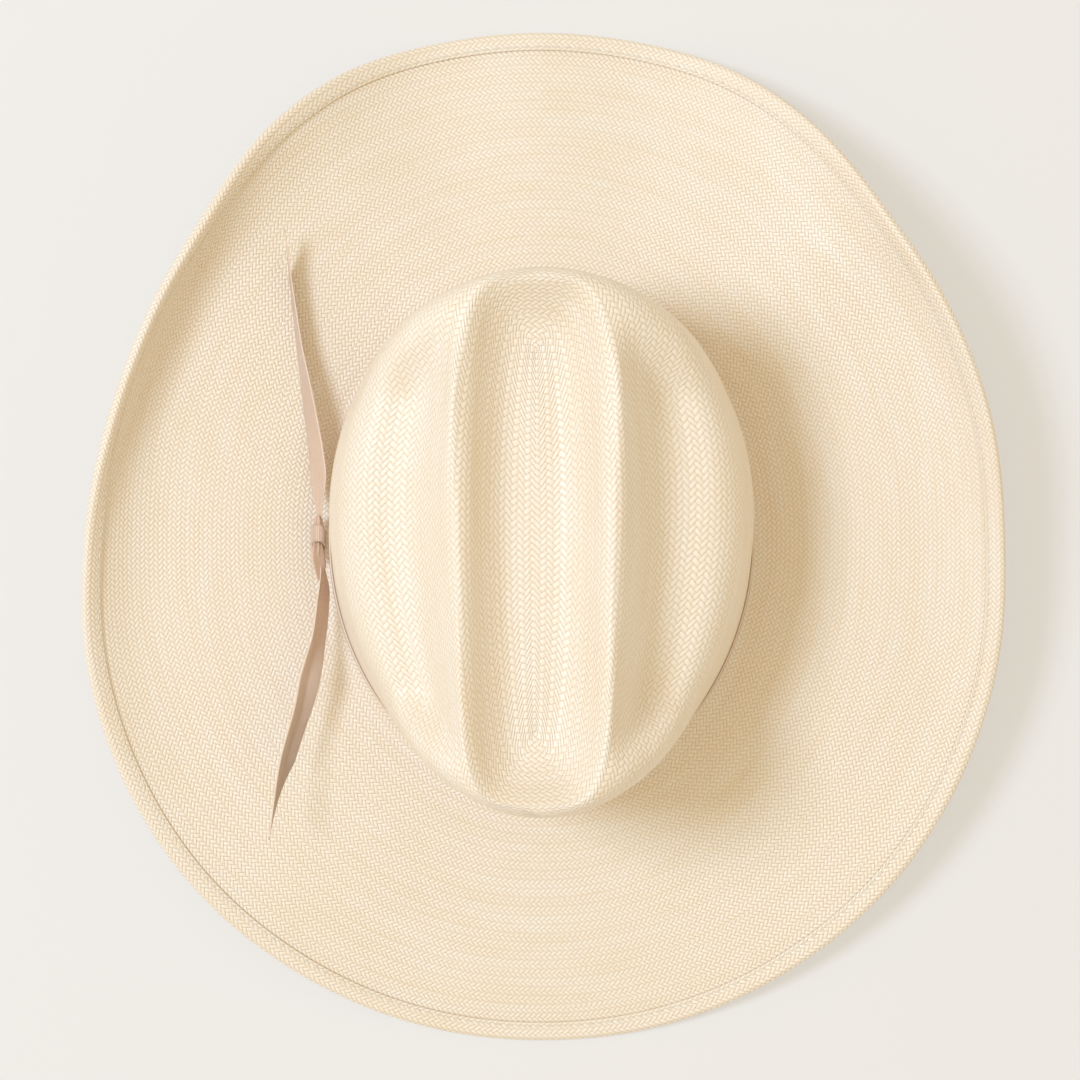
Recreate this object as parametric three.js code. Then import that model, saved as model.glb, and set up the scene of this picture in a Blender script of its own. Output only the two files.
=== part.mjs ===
// A cattleman straw cowboy hat, in millimetres, +Z up.
// -Y is the front of the hat and +X is the wearer's left, where the ribbon is tied.
// The origin is at the middle of the hat, on the surface it stands on.
import * as THREE from 'three';

const hat = new THREE.Group();
const degrees = THREE.MathUtils.degToRad;
const mix = THREE.MathUtils.lerp;

// Driving dimensions.
const aroundSteps = 64;
const strawThickness = 1.5;
const pieceGap = 0.4;
const headHalfWidth = 86;
const headHalfLength = 103;
const headCentre = { x: 0.8, y: 1 };
const breakHeightFront = 26;
const breakHeightSide = 24;
const breakHeightBack = 16.5;
const shoulderHalfWidth = 83;
const shoulderHalfLength = 104.4;
const shoulderCentreY = 2.6;
const shoulderTaper = 0.1;
const ridgeHalfWidth = 29;
const ridgeHalfLength = 99;
const ridgeCentreX = 3;
const crownTilt = 2.5;
const valleyHalfLength = 72;
const valleyFloor = 110;
const dentFall = 5;
const cornerRounding = 26;
const bindingWidth = 8;
const bindingThickness = 0.9;
const ribbonWidth = 10;
const ribbonThickness = 0.8;
const sweatbandHeight = 32;
const restHeight = -2.6;

// The brim every fifteen degrees from the front to the back: the slope at the crown, the slope
// at the edge on the ribbon side and on the other side (degrees), and the width of straw.
const brimStations = [
  { inner: -14, bowEdge: -14.5, offEdge: -14.5, width: 108 },
  { inner: -13, bowEdge: -7, offEdge: -8, width: 108 },
  { inner: -2, bowEdge: 30, offEdge: 24, width: 103.5 },
  { inner: 8, bowEdge: 68, offEdge: 51, width: 101.5 },
  { inner: 9, bowEdge: 84, offEdge: 57, width: 103.5 },
  { inner: 8.5, bowEdge: 76, offEdge: 41, width: 102.5 },
  { inner: 7, bowEdge: 50, offEdge: 27, width: 101 },
  { inner: 4.5, bowEdge: 31, offEdge: 19, width: 103.5 },
  { inner: 1.5, bowEdge: 18, offEdge: 12, width: 105 },
  { inner: -1, bowEdge: 7, offEdge: 4, width: 105.5 },
  { inner: -4.5, bowEdge: -3, offEdge: -3, width: 105 },
  { inner: -8, bowEdge: -9, offEdge: -9, width: 105 },
  { inner: -9, bowEdge: -11, offEdge: -11, width: 104.5 },
];
const stationAngle = degrees(15);
const curlStart = 0.6;
const brimSlices = 60;

// The crown's section from the ridge to the shoulder: how far out, and the height at the side,
// where the dents are, and at the front and back, where there are none. The dents' heights fall
// from front to back by dentFall each way.
const crownStations = [
  { out: 0.06, side: 128.6, end: 129 },
  { out: 0.15, side: 120, end: 129 },
  { out: 0.25, side: 109.5, end: 128.6 },
  { out: 0.35, side: 102.5, end: 128.2 },
  { out: 0.5, side: 99.5, end: 127.6 },
  { out: 0.74, side: 98, end: 125 },
  { out: 0.88, side: 90.5, end: 122 },
  { out: 0.95, side: 78, end: 119.5 },
  { out: 1, side: 64, end: 115 },
];
const valleyStations = [
  { out: 0, side: 0, end: 0 },
  { out: 0.4, side: 1, end: 3.5 },
  { out: 0.69, side: 9, end: 10 },
  { out: 0.87, side: 17.6, end: 15.5 },
  { out: 1, side: 20, end: 19 },
];

// A value read from the brim's stations at any angle round the hat, 0 at the front.
function brimValue(angle, name) {
  const place = Math.abs(Math.atan2(Math.sin(angle), Math.cos(angle))) / stationAngle;
  const last = brimStations.length - 1;
  const station = Math.min(Math.floor(place), last - 1);
  const read = (index) => {
    const mirrored = index < 0 ? -index : index > last ? 2 * last - index : index;
    return brimStations[mirrored][name];
  };
  const [before, start, end, after] = [-1, 0, 1, 2].map((step) => read(station + step));
  const t = place - station;
  const curve = 3 * (start - end) + after - before;
  return start + 0.5 * t * (end - before + t * (2 * before - 5 * start + 4 * end - after + t * curve));
}

function breakHeight(angle) {
  const towardFront = Math.cos(angle);
  const end = towardFront > 0 ? breakHeightFront : breakHeightBack;
  return mix(breakHeightSide, end, towardFront * towardFront);
}

// The brim: from the head oval outward along its normal, the slope turning up past curlStart.
const brimCache = new Map();
function brimProfile(angle) {
  if (brimCache.has(angle)) return brimCache.get(angle);
  const inner = degrees(brimValue(angle, 'inner'));
  const bowShare = THREE.MathUtils.smoothstep(Math.sin(angle), -0.3, 0.3);
  const edge = degrees(mix(brimValue(angle, 'offEdge'), brimValue(angle, 'bowEdge'), bowShare));
  const width = brimValue(angle, 'width');
  const points = [{ out: 0, up: breakHeight(angle) }];
  for (let slice = 0; slice < brimSlices; slice += 1) {
    const share = (slice + 0.5) / brimSlices;
    const slope = mix(inner, edge, THREE.MathUtils.smoothstep(share, curlStart, 1));
    const { out, up } = points[slice];
    const step = width / brimSlices;
    points.push({ out: out + step * Math.cos(slope), up: up + step * Math.sin(slope) });
  }
  const profile = { width, points };
  brimCache.set(angle, profile);
  return profile;
}

// A point on the brim's upper face, fromEdge millimetres in from its edge.
function brimPoint(angle, fromEdge) {
  const { width, points } = brimProfile(angle);
  const place = THREE.MathUtils.clamp((1 - fromEdge / width) * brimSlices, 0, brimSlices);
  const slice = Math.min(Math.floor(place), brimSlices - 1);
  const out = mix(points[slice].out, points[slice + 1].out, place - slice);
  const up = mix(points[slice].up, points[slice + 1].up, place - slice);
  return headOval(angle, out, up);
}

function headOval(angle, out, up) {
  const normal = new THREE.Vector2(headHalfLength * Math.sin(angle), -headHalfWidth * Math.cos(angle));
  normal.normalize();
  const x = headCentre.x + headHalfWidth * Math.sin(angle) + out * normal.x;
  const y = headCentre.y - headHalfLength * Math.cos(angle) + out * normal.y;
  return new THREE.Vector3(x, y, up);
}

// How much of the side dent there is at an angle: all of it along the sides, none at the ends.
function dentShare(angle) {
  const towardFront = Math.cos(angle);
  if (towardFront > 0) return 1 - THREE.MathUtils.smoothstep(towardFront, 0.52, 0.88);
  return 1 - THREE.MathUtils.smoothstep(-towardFront, 0.54, 0.87);
}

// The crown's section at one angle, from the valley's centre line down to the brim.
const crownCache = new Map();
function crownSection(angle) {
  if (crownCache.has(angle)) return crownCache.get(angle);
  const sine = Math.sin(angle);
  const cosine = Math.cos(angle);
  const dent = dentShare(angle);
  const tilt = crownTilt * cosine;
  const centre = new THREE.Vector2(ridgeCentreX, shoulderCentreY - valleyHalfLength * cosine);
  const ridgeOut = Math.sign(sine) * ridgeHalfWidth * (1 - Math.abs(cosine) ** 5) ** 0.2;
  const ridge = new THREE.Vector2(ridgeCentreX + ridgeOut, shoulderCentreY - ridgeHalfLength * cosine);
  const shoulderOut = shoulderHalfWidth * sine * (1 + shoulderTaper * cosine);
  const shoulder = new THREE.Vector2(
    headCentre.x + shoulderOut,
    shoulderCentreY - shoulderHalfLength * cosine,
  );
  const points = [];
  for (const { out, side, end } of valleyStations) {
    const plan = centre.clone().lerp(ridge, out);
    points.push(new THREE.Vector3(plan.x, plan.y, valleyFloor + tilt + mix(side, end, cosine ** 8)));
  }
  // Between the end and the dent the shoulder rounds off, lower the further it is from the end.
  const cornerDrop = cornerRounding * (1 - dent) * sine * sine;
  for (const { out, side, end } of crownStations) {
    const plan = ridge.clone().lerp(shoulder, out);
    const rounded = end - cornerDrop * out * out;
    points.push(new THREE.Vector3(plan.x, plan.y, tilt + mix(rounded, side + dentFall * cosine, dent)));
  }
  const foot = breakHeight(angle);
  const top = points[points.length - 1];
  const wallFoot = headOval(angle, -1.4, foot + 9);
  points.push(top.clone().lerp(wallFoot, 0.35), top.clone().lerp(wallFoot, 0.7), wallFoot);
  points.push(headOval(angle, -0.9, foot + 4), headOval(angle, 0.1, foot + 1.4));
  const curve = new THREE.CatmullRomCurve3(points, false, 'centripetal');
  crownCache.set(angle, curve);
  return curve;
}
const crownSpans = valleyStations.length + crownStations.length + 4;

// A point on the crown's outer face: place counts the section's points, 0 at the centre line.
function crownPoint(angle, place) {
  return crownSection(angle).getPoint(THREE.MathUtils.clamp(place / crownSpans, 0, 1));
}

// A point on the crown's side wall, a height above the brim.
function wallPoint(angle, height) {
  let low = valleyStations.length + crownStations.length - 1;
  let high = crownSpans;
  for (let pass = 0; pass < 18; pass += 1) {
    const middle = (low + high) / 2;
    if (crownPoint(angle, middle).z > breakHeight(angle) + height) low = middle;
    else high = middle;
  }
  return crownPoint(angle, (low + high) / 2);
}

// A face's point moved along the face's own outward normal.
function offsetPoint(face, angle, place, offset) {
  const point = face(angle, place);
  if (face === crownPoint && place === 0) return point.add(new THREE.Vector3(0, 0, offset));
  const turn = 0.02;
  const slide = 0.25;
  const along = face(angle, place + slide).sub(face(angle, place - slide));
  const across = face(angle + turn, place).sub(face(angle - turn, place));
  const normal = along.cross(across).normalize();
  if (face !== crownPoint) normal.negate();
  return point.addScaledVector(normal, offset);
}

// A closed solid round the hat: section(angle) gives its outline at each angle.
function ringSolid(section, steps = aroundSteps) {
  const count = section(0).length;
  const blank = Array.from({ length: count }, (_, index) => new THREE.Vector2(index + 1, index));
  const geometry = new THREE.LatheGeometry(blank, steps);
  const position = geometry.getAttribute('position');
  for (let step = 0; step <= steps; step += 1) {
    const outline = section(((step % steps) / steps) * 2 * Math.PI);
    outline.forEach((point, index) => position.setXYZ(step * count + index, point.x, point.y, point.z));
  }
  return facingOut(geometry);
}

// A strip bent along a route: place(t) gives its middle, its width direction and its face normal.
function stripSolid(place, width, thickness, steps) {
  const geometry = new THREE.BoxGeometry(1, 1, 1, 1, 2, steps);
  const position = geometry.getAttribute('position');
  for (let index = 0; index < position.count; index += 1) {
    const { middle, side, face } = place(position.getZ(index) + 0.5);
    const point = middle.clone();
    point.addScaledVector(side, position.getY(index) * width(position.getZ(index) + 0.5));
    point.addScaledVector(face, position.getX(index) * thickness);
    position.setXYZ(index, point.x, point.y, point.z);
  }
  return facingOut(geometry);
}

// Turns every triangle over if the solid's signed volume says that it is inside out.
function facingOut(geometry) {
  const position = geometry.getAttribute('position');
  const index = geometry.getIndex();
  const [a, b, c] = [new THREE.Vector3(), new THREE.Vector3(), new THREE.Vector3()];
  let volume = 0;
  for (let face = 0; face < index.count; face += 3) {
    a.fromBufferAttribute(position, index.getX(face));
    b.fromBufferAttribute(position, index.getX(face + 1));
    c.fromBufferAttribute(position, index.getX(face + 2));
    volume += a.dot(b.cross(c));
  }
  if (volume < 0) {
    for (let face = 0; face < index.count; face += 3) {
      const first = index.getX(face);
      index.setX(face, index.getX(face + 2));
      index.setX(face + 2, first);
    }
  }
  return geometry;
}

function addPiece(name, geometry, material) {
  const mesh = new THREE.Mesh(geometry, material.clone());
  mesh.name = name;
  hat.add(mesh);
  return mesh;
}

const straw = new THREE.MeshStandardMaterial({ color: 0xf0dfc4, roughness: 0.5 });
const steel = new THREE.MeshStandardMaterial({ color: 0xb5b5b0, roughness: 0.35, metalness: 1 });
const thread = new THREE.MeshStandardMaterial({ color: 0xf6eddc, roughness: 0.7 });
const leather = new THREE.MeshStandardMaterial({ color: 0x9c7350, roughness: 0.55 });
const reedPlastic = new THREE.MeshStandardMaterial({ color: 0xe4dccb, roughness: 0.5 });
const ribbon = new THREE.MeshStandardMaterial({ color: 0xdcb99f, roughness: 0.75 });

// The straw: one woven skin from the valley's centre line to just inside the bound edge.
const strawEdgeInset = 3.4;
const brimRows = [0.05, 0.14, 0.26, 0.4, 0.53, 0.63, 0.7, 0.76, 0.82, 0.87];
function strawOutline(angle) {
  const outer = [];
  const inner = [];
  for (let place = 0; place <= crownSpans; place += 1) {
    outer.push(offsetPoint(crownPoint, angle, place, 0));
    inner.push(offsetPoint(crownPoint, angle, place, -strawThickness));
  }
  const { width } = brimProfile(angle);
  const rows = [...brimRows.map((share) => width * (1 - share)), bindingWidth, strawEdgeInset];
  for (const fromEdge of rows) {
    outer.push(offsetPoint(brimPoint, angle, fromEdge, 0));
    inner.push(offsetPoint(brimPoint, angle, fromEdge, -strawThickness));
  }
  return [...outer, ...inner.reverse()];
}

// Rings that follow the brim: an outline of (fromEdge, offset) pairs.
function brimRing(outline) {
  const lowest = (point) => point.setZ(Math.max(point.z, restHeight));
  const loop = [...outline, outline[0]];
  return ringSolid((angle) => loop.map(([inset, offset]) => lowest(offsetPoint(brimPoint, angle, inset, offset))));
}

// Rings that follow the crown's side wall: an outline of (height, offset) pairs.
function wallRing(outline) {
  const loop = [...outline, outline[0]];
  const section = (angle) => loop.map(([height, offset]) => wallSideways(angle, height, offset));
  return ringSolid(section);
}

// A point beside the wall, moved level along the head oval's normal.
function wallSideways(angle, height, offset) {
  const point = wallPoint(angle, height);
  const foot = headOval(angle, 0, point.z);
  return point.add(headOval(angle, offset, point.z).sub(foot));
}

// A patch on the wall: a small block bent to it, between two heights and two offsets.
function wallPatch(angle, width, heights, offsets) {
  const geometry = new THREE.BoxGeometry(1, 1, 1, 2, 3, 1);
  const position = geometry.getAttribute('position');
  const radius = wallPoint(angle, heights[0]).setZ(0).length();
  for (let index = 0; index < position.count; index += 1) {
    const side = angle + (position.getX(index) * width) / radius;
    const height = mix(heights[0], heights[1], position.getY(index) + 0.5);
    const offset = mix(offsets[0], offsets[1], position.getZ(index) + 0.5);
    const point = wallSideways(side, height, offset);
    position.setXYZ(index, point.x, point.y, point.z);
  }
  return facingOut(geometry);
}

addPiece('straw_body', ringSolid(strawOutline), straw);

// The bound edge: a folded strip of straw round a steel wire, sewn through.
const bindingUpper = pieceGap + bindingThickness;
const bindingUnder = -strawThickness - pieceGap - bindingThickness;
const foldStart = 1.2;
const foldRound = 0.2;
const foldRise = 0.6;
const foldInside = 1.1;
const foldInsideStart = 1.7;
const foldInsideRise = 0.2;
addPiece('edge_binding', brimRing([
  [bindingWidth, pieceGap],
  [bindingWidth, bindingUpper],
  [strawEdgeInset, bindingUpper],
  [foldStart, bindingUpper],
  [foldRound, foldRise],
  [0, -strawThickness / 2],
  [foldRound, -foldRise - strawThickness],
  [foldStart, bindingUnder],
  [strawEdgeInset, bindingUnder],
  [bindingWidth, bindingUnder],
  [bindingWidth, -strawThickness - pieceGap],
  [strawEdgeInset, -strawThickness - pieceGap],
  [foldInsideStart, -strawThickness - pieceGap],
  [foldInside, -strawThickness + foldInsideRise],
  [foldInside, -foldInsideRise],
  [foldInsideStart, pieceGap],
  [strawEdgeInset, pieceGap],
]), straw);
const wireRadius = 0.5;
const wireFromEdge = 2.1;
addPiece('edge_wire', brimRing([0, 60, 120, 180, 240, 300].map((turn) => [
  wireFromEdge + wireRadius * Math.cos(degrees(turn)),
  -strawThickness / 2 + wireRadius * Math.sin(degrees(turn)),
])), steel);

const threadWidth = 0.6;
const threadDepth = 0.3;
const threadGap = 0.25;
const stitchFromEdge = 6.3;
function edgeThread(from) {
  return brimRing([
    [stitchFromEdge, from],
    [stitchFromEdge, from + threadDepth],
    [stitchFromEdge + threadWidth, from + threadDepth],
    [stitchFromEdge + threadWidth, from],
  ]);
}
addPiece('edge_stitching_upper', edgeThread(bindingUpper + threadGap), thread);
addPiece('edge_stitching_under', edgeThread(bindingUnder - threadGap - threadDepth), thread);

// The sweatband inside the crown, with what holds it at its foot.
const wallInside = -strawThickness - pieceGap;
const tapeThickness = 0.3;
const leatherThickness = 1.2;
const bandOutside = wallInside - tapeThickness - pieceGap;
const bandInside = bandOutside - leatherThickness;
const bandFoot = 3;
function wallBand(heights, far, near) {
  const outside = heights.map((height) => [height, far]);
  const inside = heights.map((height) => [height, near]).reverse();
  return wallRing([...outside, ...inside]);
}
const tapeHeights = [bandFoot, bandFoot + 3, bandFoot + 7];
const bandHeights = [...tapeHeights, bandFoot + sweatbandHeight];
addPiece('sweatband', wallBand(bandHeights, bandOutside, bandInside), leather);
addPiece('reed_tape', wallBand(tapeHeights, wallInside, wallInside - tapeThickness), thread);
const reedRadius = 0.8;
const reedHeight = 1.3;
const reedSetBack = 0.2;
addPiece('sweatband_reed', wallRing([0, 60, 120, 180, 240, 300].map((turn) => [
  reedHeight + reedRadius * Math.sin(degrees(turn)),
  bandInside + reedSetBack + reedRadius * Math.cos(degrees(turn)),
])), reedPlastic);
const bandThreadFace = bandInside - pieceGap;
addPiece(
  'sweatband_stitching',
  wallBand([bandFoot + 3, bandFoot + 3 + threadWidth], bandThreadFace, bandThreadFace - threadDepth),
  thread,
);
const seamTapeWidth = 9;
const seamTapeFace = bandThreadFace - tapeThickness;
addPiece(
  'sweatband_seam_tape',
  wallPatch(Math.PI, seamTapeWidth, [bandFoot + 4, bandFoot + sweatbandHeight - 1], [bandThreadFace, seamTapeFace]),
  ribbon,
);

// The small flat bow that marks the back of the sweatband.
const bowHalfWidth = 11;
const bowThickness = 0.9;
function bowShape() {
  const shape = new THREE.Shape();
  shape.moveTo(0, 1.6);
  shape.bezierCurveTo(4, 3, bowHalfWidth, 7, bowHalfWidth, 1.5);
  shape.bezierCurveTo(bowHalfWidth, -3, 4, -1.5, 1.8, -1.2);
  shape.lineTo(6, -9);
  shape.lineTo(2.6, -8.2);
  shape.lineTo(0, -2);
  shape.lineTo(-2.6, -8.2);
  shape.lineTo(-6, -9);
  shape.lineTo(-1.8, -1.2);
  shape.bezierCurveTo(-4, -1.5, -bowHalfWidth, -3, -bowHalfWidth, 1.5);
  shape.bezierCurveTo(-bowHalfWidth, 7, -4, 3, 0, 1.6);
  return shape;
}
const bowSeat = wallSideways(Math.PI, bandFoot + sweatbandHeight / 2, seamTapeFace);
const bowStandOff = 1.6;
const bow = addPiece(
  'sweatband_bow',
  new THREE.ExtrudeGeometry(bowShape(), { depth: bowThickness, bevelEnabled: false, curveSegments: 6 }),
  ribbon,
);
bow.rotation.x = Math.PI / 2;
bow.position.copy(bowSeat).add(new THREE.Vector3(0, -bowStandOff, 0));
const bowKnotRadius = 1.3;
const bowKnotLength = 2.2;
const bowKnotShape = new THREE.CapsuleGeometry(bowKnotRadius, bowKnotLength, 4, 10);
const bowKnot = addPiece('sweatband_bow_knot', bowKnotShape, ribbon);
bowKnot.rotation.x = Math.PI / 2;
bowKnot.position.copy(bow.position).add(new THREE.Vector3(0, -bowThickness - bowKnotRadius - 0.6, 0));

// The ribbon round the crown, its tacks, and the knot on the wearer's left.
const ribbonFoot = 4.5;
const ribbonStandOff = 0.5;
const ribbonFace = ribbonStandOff + ribbonThickness;
const ribbonHeights = [ribbonFoot, ribbonFoot + ribbonWidth / 2, ribbonFoot + ribbonWidth];
addPiece('hatband', wallBand(ribbonHeights, ribbonFace, ribbonStandOff), ribbon);
const tackAngles = { front: 0, back: Math.PI, right: -Math.PI / 2 };
for (const [place, angle] of Object.entries(tackAngles)) {
  const heights = [ribbonFoot + 3, ribbonFoot + 7];
  const offsets = [ribbonFace + pieceGap, ribbonFace + pieceGap + threadDepth];
  addPiece(`hatband_tack_${place}`, wallPatch(angle, threadWidth, heights, offsets), thread);
}

const knotHalfLength = 9;
const knotHalfHeight = 4.6;
const knotHalfDepth = 2.2;
const wrapThickness = 0.8;
const wrapHalfLength = 3.6;
const knotSeat = wallSideways(Math.PI / 2, ribbonFoot + ribbonWidth / 2, ribbonFace);
const knotMiddle = knotSeat.clone();
knotMiddle.x += pieceGap + wrapThickness + pieceGap + knotHalfDepth;
const core = addPiece('hatband_knot', new THREE.SphereGeometry(1, 16, 12), ribbon);
core.scale.set(knotHalfDepth, knotHalfLength, knotHalfHeight);
core.position.copy(knotMiddle);
const wrapInner = knotHalfHeight + pieceGap;
const wrapOuter = wrapInner + wrapThickness;
const wrapProfile = [
  new THREE.Vector2(wrapInner, -wrapHalfLength),
  new THREE.Vector2(wrapOuter, -wrapHalfLength),
  new THREE.Vector2(wrapOuter + 0.3, 0),
  new THREE.Vector2(wrapOuter, wrapHalfLength),
  new THREE.Vector2(wrapInner, wrapHalfLength),
  new THREE.Vector2(wrapInner, -wrapHalfLength),
];
const wrapGeometry = new THREE.LatheGeometry(wrapProfile, 24);
const wrapSquash = (knotHalfDepth + pieceGap + wrapThickness) / wrapOuter;
wrapGeometry.scale(wrapSquash, 1, 1);
const wrap = addPiece('hatband_knot_wrap', facingOut(wrapGeometry), ribbon);
wrap.position.copy(knotMiddle);

// The two loose ends of the ribbon, from the knot toward the front and toward the back. Each
// route is where the middle of the ribbon lies, and lean is how far its face has rolled over.
const gathered = 0.3;
function tail(name, route, leans) {
  const curve = new THREE.CatmullRomCurve3(route.map((point) => new THREE.Vector3(...point)));
  const up = new THREE.Vector3(0, 0, 1);
  const place = (t) => {
    const middle = curve.getPoint(t);
    const tangent = curve.getTangent(t);
    const level = new THREE.Vector3().crossVectors(tangent, up).normalize();
    const upright = new THREE.Vector3().crossVectors(level, tangent).normalize();
    const station = Math.min(Math.floor(t * (leans.length - 1)), leans.length - 2);
    const lean = degrees(mix(leans[station], leans[station + 1], t * (leans.length - 1) - station));
    const side = upright.clone().multiplyScalar(Math.cos(lean)).addScaledVector(level, Math.sin(lean));
    const face = new THREE.Vector3().crossVectors(tangent, side).normalize();
    return { middle, side, face };
  };
  const width = (t) => ribbonWidth * mix(gathered, 1, THREE.MathUtils.smoothstep(t, 0, 0.18));
  addPiece(name, stripSolid(place, width, ribbonThickness, 24), ribbon);
}
const frontRoute = [
  [90.6, -11, 35], [90.4, -29, 37], [93.9, -53, 37], [97.5, -75, 36], [100.4, -97, 37.4], [103.6, -122.5, 39.6],
];
const rearRoute = [
  [90.6, 13, 35], [89.6, 35, 38], [92.2, 49, 40], [95.8, 66, 41], [101, 84, 42], [104.5, 98, 42], [108.6, 121, 43],
];
tail('bow_tail_front', frontRoute, [50, 40, 30, 15, 8, 5]);
tail('bow_tail_rear', rearRoute, [20, 30, 55, 40, 36, 20, 8]);

// The hat is centred, and its lowest faces, under the front and back of the brim, are at zero.
const centreShift = { x: 0.28, y: -0.15 };
hat.position.set(centreShift.x, centreShift.y, -restHeight);

export default hat;
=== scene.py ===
import math

import bmesh
import bpy
import numpy as np
from mathutils import Matrix, Vector


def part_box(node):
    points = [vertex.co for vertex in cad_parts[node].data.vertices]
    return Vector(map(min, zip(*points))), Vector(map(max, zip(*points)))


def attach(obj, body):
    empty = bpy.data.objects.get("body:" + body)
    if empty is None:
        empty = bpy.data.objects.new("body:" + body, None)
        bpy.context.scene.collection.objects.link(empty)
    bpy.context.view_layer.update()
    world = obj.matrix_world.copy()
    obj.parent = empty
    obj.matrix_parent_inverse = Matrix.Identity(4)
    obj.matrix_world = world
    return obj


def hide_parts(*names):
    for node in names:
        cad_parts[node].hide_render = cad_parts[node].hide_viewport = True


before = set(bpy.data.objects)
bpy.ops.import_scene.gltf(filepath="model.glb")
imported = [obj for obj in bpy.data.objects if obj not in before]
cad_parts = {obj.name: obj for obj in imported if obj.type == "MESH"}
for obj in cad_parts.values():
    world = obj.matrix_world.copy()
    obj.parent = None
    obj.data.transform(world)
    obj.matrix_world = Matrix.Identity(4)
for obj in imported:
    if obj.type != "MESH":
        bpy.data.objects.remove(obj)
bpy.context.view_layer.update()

# The hat's shape, in millimetres: +Z up, -Y the front, +X the wearer's left.
# These are the same driving sizes as the solid parts have.
hatSizes = {
    "headHalfWidth": 86.0,
    "headHalfLength": 103.0,
    "headCentre": (0.8, 1.0),
    "breakFront": 26.0,
    "breakSide": 24.0,
    "breakBack": 16.5,
    "shoulderHalfWidth": 83.0,
    "shoulderHalfLength": 104.4,
    "shoulderCentreY": 2.6,
    "shoulderTaper": 0.1,
    "ridgeHalfWidth": 29.0,
    "ridgeHalfLength": 99.0,
    "ridgeCentreX": 3.0,
    "crownTilt": 2.5,
    "valleyHalfLength": 72.0,
    "valleyFloor": 110.0,
    "dentFall": 5.0,
    "cornerRounding": 26.0,
    "dentFront": (0.52, 0.88),
    "dentBack": (0.54, 0.87),
    "ridgePower": 5,
    "endPower": 8,
    "restHeight": -2.6,
    "centreShift": (0.28, -0.15),
    "strawThickness": 1.5,
}

# Slope at the crown, slope at the edge on the ribbon side and on the other, and width of straw,
# every fifteen degrees from the front to the back.
brimStations = np.array([
    (-14, -14.5, -14.5, 108),
    (-13, -7, -8, 108),
    (-2, 30, 24, 103.5),
    (8, 68, 51, 101.5),
    (9, 84, 57, 103.5),
    (8.5, 76, 41, 102.5),
    (7, 50, 27, 101),
    (4.5, 31, 19, 103.5),
    (1.5, 18, 12, 105),
    (-1, 7, 4, 105.5),
    (-4.5, -3, -3, 105),
    (-8, -9, -9, 105),
    (-9, -11, -11, 104.5),
], dtype=float)
stationStep = 15
curlStart = 0.6
brimSlices = 60

# How far out from the valley's middle to the ridge, and the rise above the valley's floor at the
# side and at the ends; then from the ridge to the shoulder, and the height at the same places.
valleyStations = [(0, 0, 0), (0.4, 1, 3.5), (0.69, 9, 10), (0.87, 17.6, 15.5), (1, 20, 19)]
crownStations = [
    (0.06, 128.6, 129),
    (0.15, 120, 129),
    (0.25, 109.5, 128.6),
    (0.35, 102.5, 128.2),
    (0.5, 99.5, 127.6),
    (0.74, 98, 125),
    (0.88, 90.5, 122),
    (0.95, 78, 119.5),
    (1, 64, 115),
]
# Down the wall: shares of the way to its foot, then how far out from the head oval and how far
# above the brim the section passes as it bends into the brim.
wallShares = [0.35, 0.7]
wallFootPoints = [(-1.4, 9), (-0.9, 4), (0.1, 1.4)]
# How many steps a smooth line takes between two of a section's points, and how many of its last
# spans hold the crown's wall.
spanSamples = 12
wallSpans = 8


def smoothStep(value, low, high):
    share = np.clip((value - low) / (high - low), 0, 1)
    return share * share * (3 - 2 * share)


def brimValue(angles, column):
    # one column of the stations, read smoothly at these angles
    place = np.abs(np.arctan2(np.sin(angles), np.cos(angles))) / math.radians(stationStep)
    last = len(brimStations) - 1
    station = np.minimum(np.floor(place), last - 1).astype(int)
    values = brimStations[:, column]

    def read(index):
        mirrored = np.abs(index)
        mirrored = np.where(mirrored > last, 2 * last - mirrored, mirrored)
        return values[mirrored]

    before, start, end, after = (read(station + step) for step in (-1, 0, 1, 2))
    share = place - station
    bend = 2 * before - 5 * start + 4 * end - after + share * (3 * (start - end) + after - before)
    return start + 0.5 * share * (end - before + share * bend)


def breakHeight(angles):
    towardFront = np.cos(angles)
    end = np.where(towardFront > 0, hatSizes["breakFront"], hatSizes["breakBack"])
    return hatSizes["breakSide"] + (end - hatSizes["breakSide"]) * towardFront**2


def headOval(angles, out, up):
    halfWidth, halfLength = hatSizes["headHalfWidth"], hatSizes["headHalfLength"]
    centreX, centreY = hatSizes["headCentre"]
    normalX, normalY = halfLength * np.sin(angles), -halfWidth * np.cos(angles)
    size = np.hypot(normalX, normalY)
    x = centreX + halfWidth * np.sin(angles) + out * normalX / size
    y = centreY - halfLength * np.cos(angles) + out * normalY / size
    return np.stack(np.broadcast_arrays(x, y, up), axis=-1)


def brimLines(angles):
    # the brim's section at each angle, in equal steps of straw from the crown to the edge
    inner = np.radians(brimValue(angles, 0))
    bowShare = smoothStep(np.sin(angles), -0.3, 0.3)
    edge = np.radians(brimValue(angles, 2) * (1 - bowShare) + brimValue(angles, 1) * bowShare)
    step = brimValue(angles, 3) / brimSlices
    share = (np.arange(brimSlices) + 0.5) / brimSlices
    slope = inner[:, None] + (edge - inner)[:, None] * smoothStep(share, curlStart, 1)[None, :]
    start = np.zeros((len(angles), 1))
    out = np.concatenate([start, np.cumsum(np.cos(slope), axis=1)], axis=1) * step[:, None]
    rise = np.concatenate([start, np.cumsum(np.sin(slope), axis=1)], axis=1) * step[:, None]
    return headOval(angles[:, None], out, breakHeight(angles)[:, None] + rise)


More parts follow.
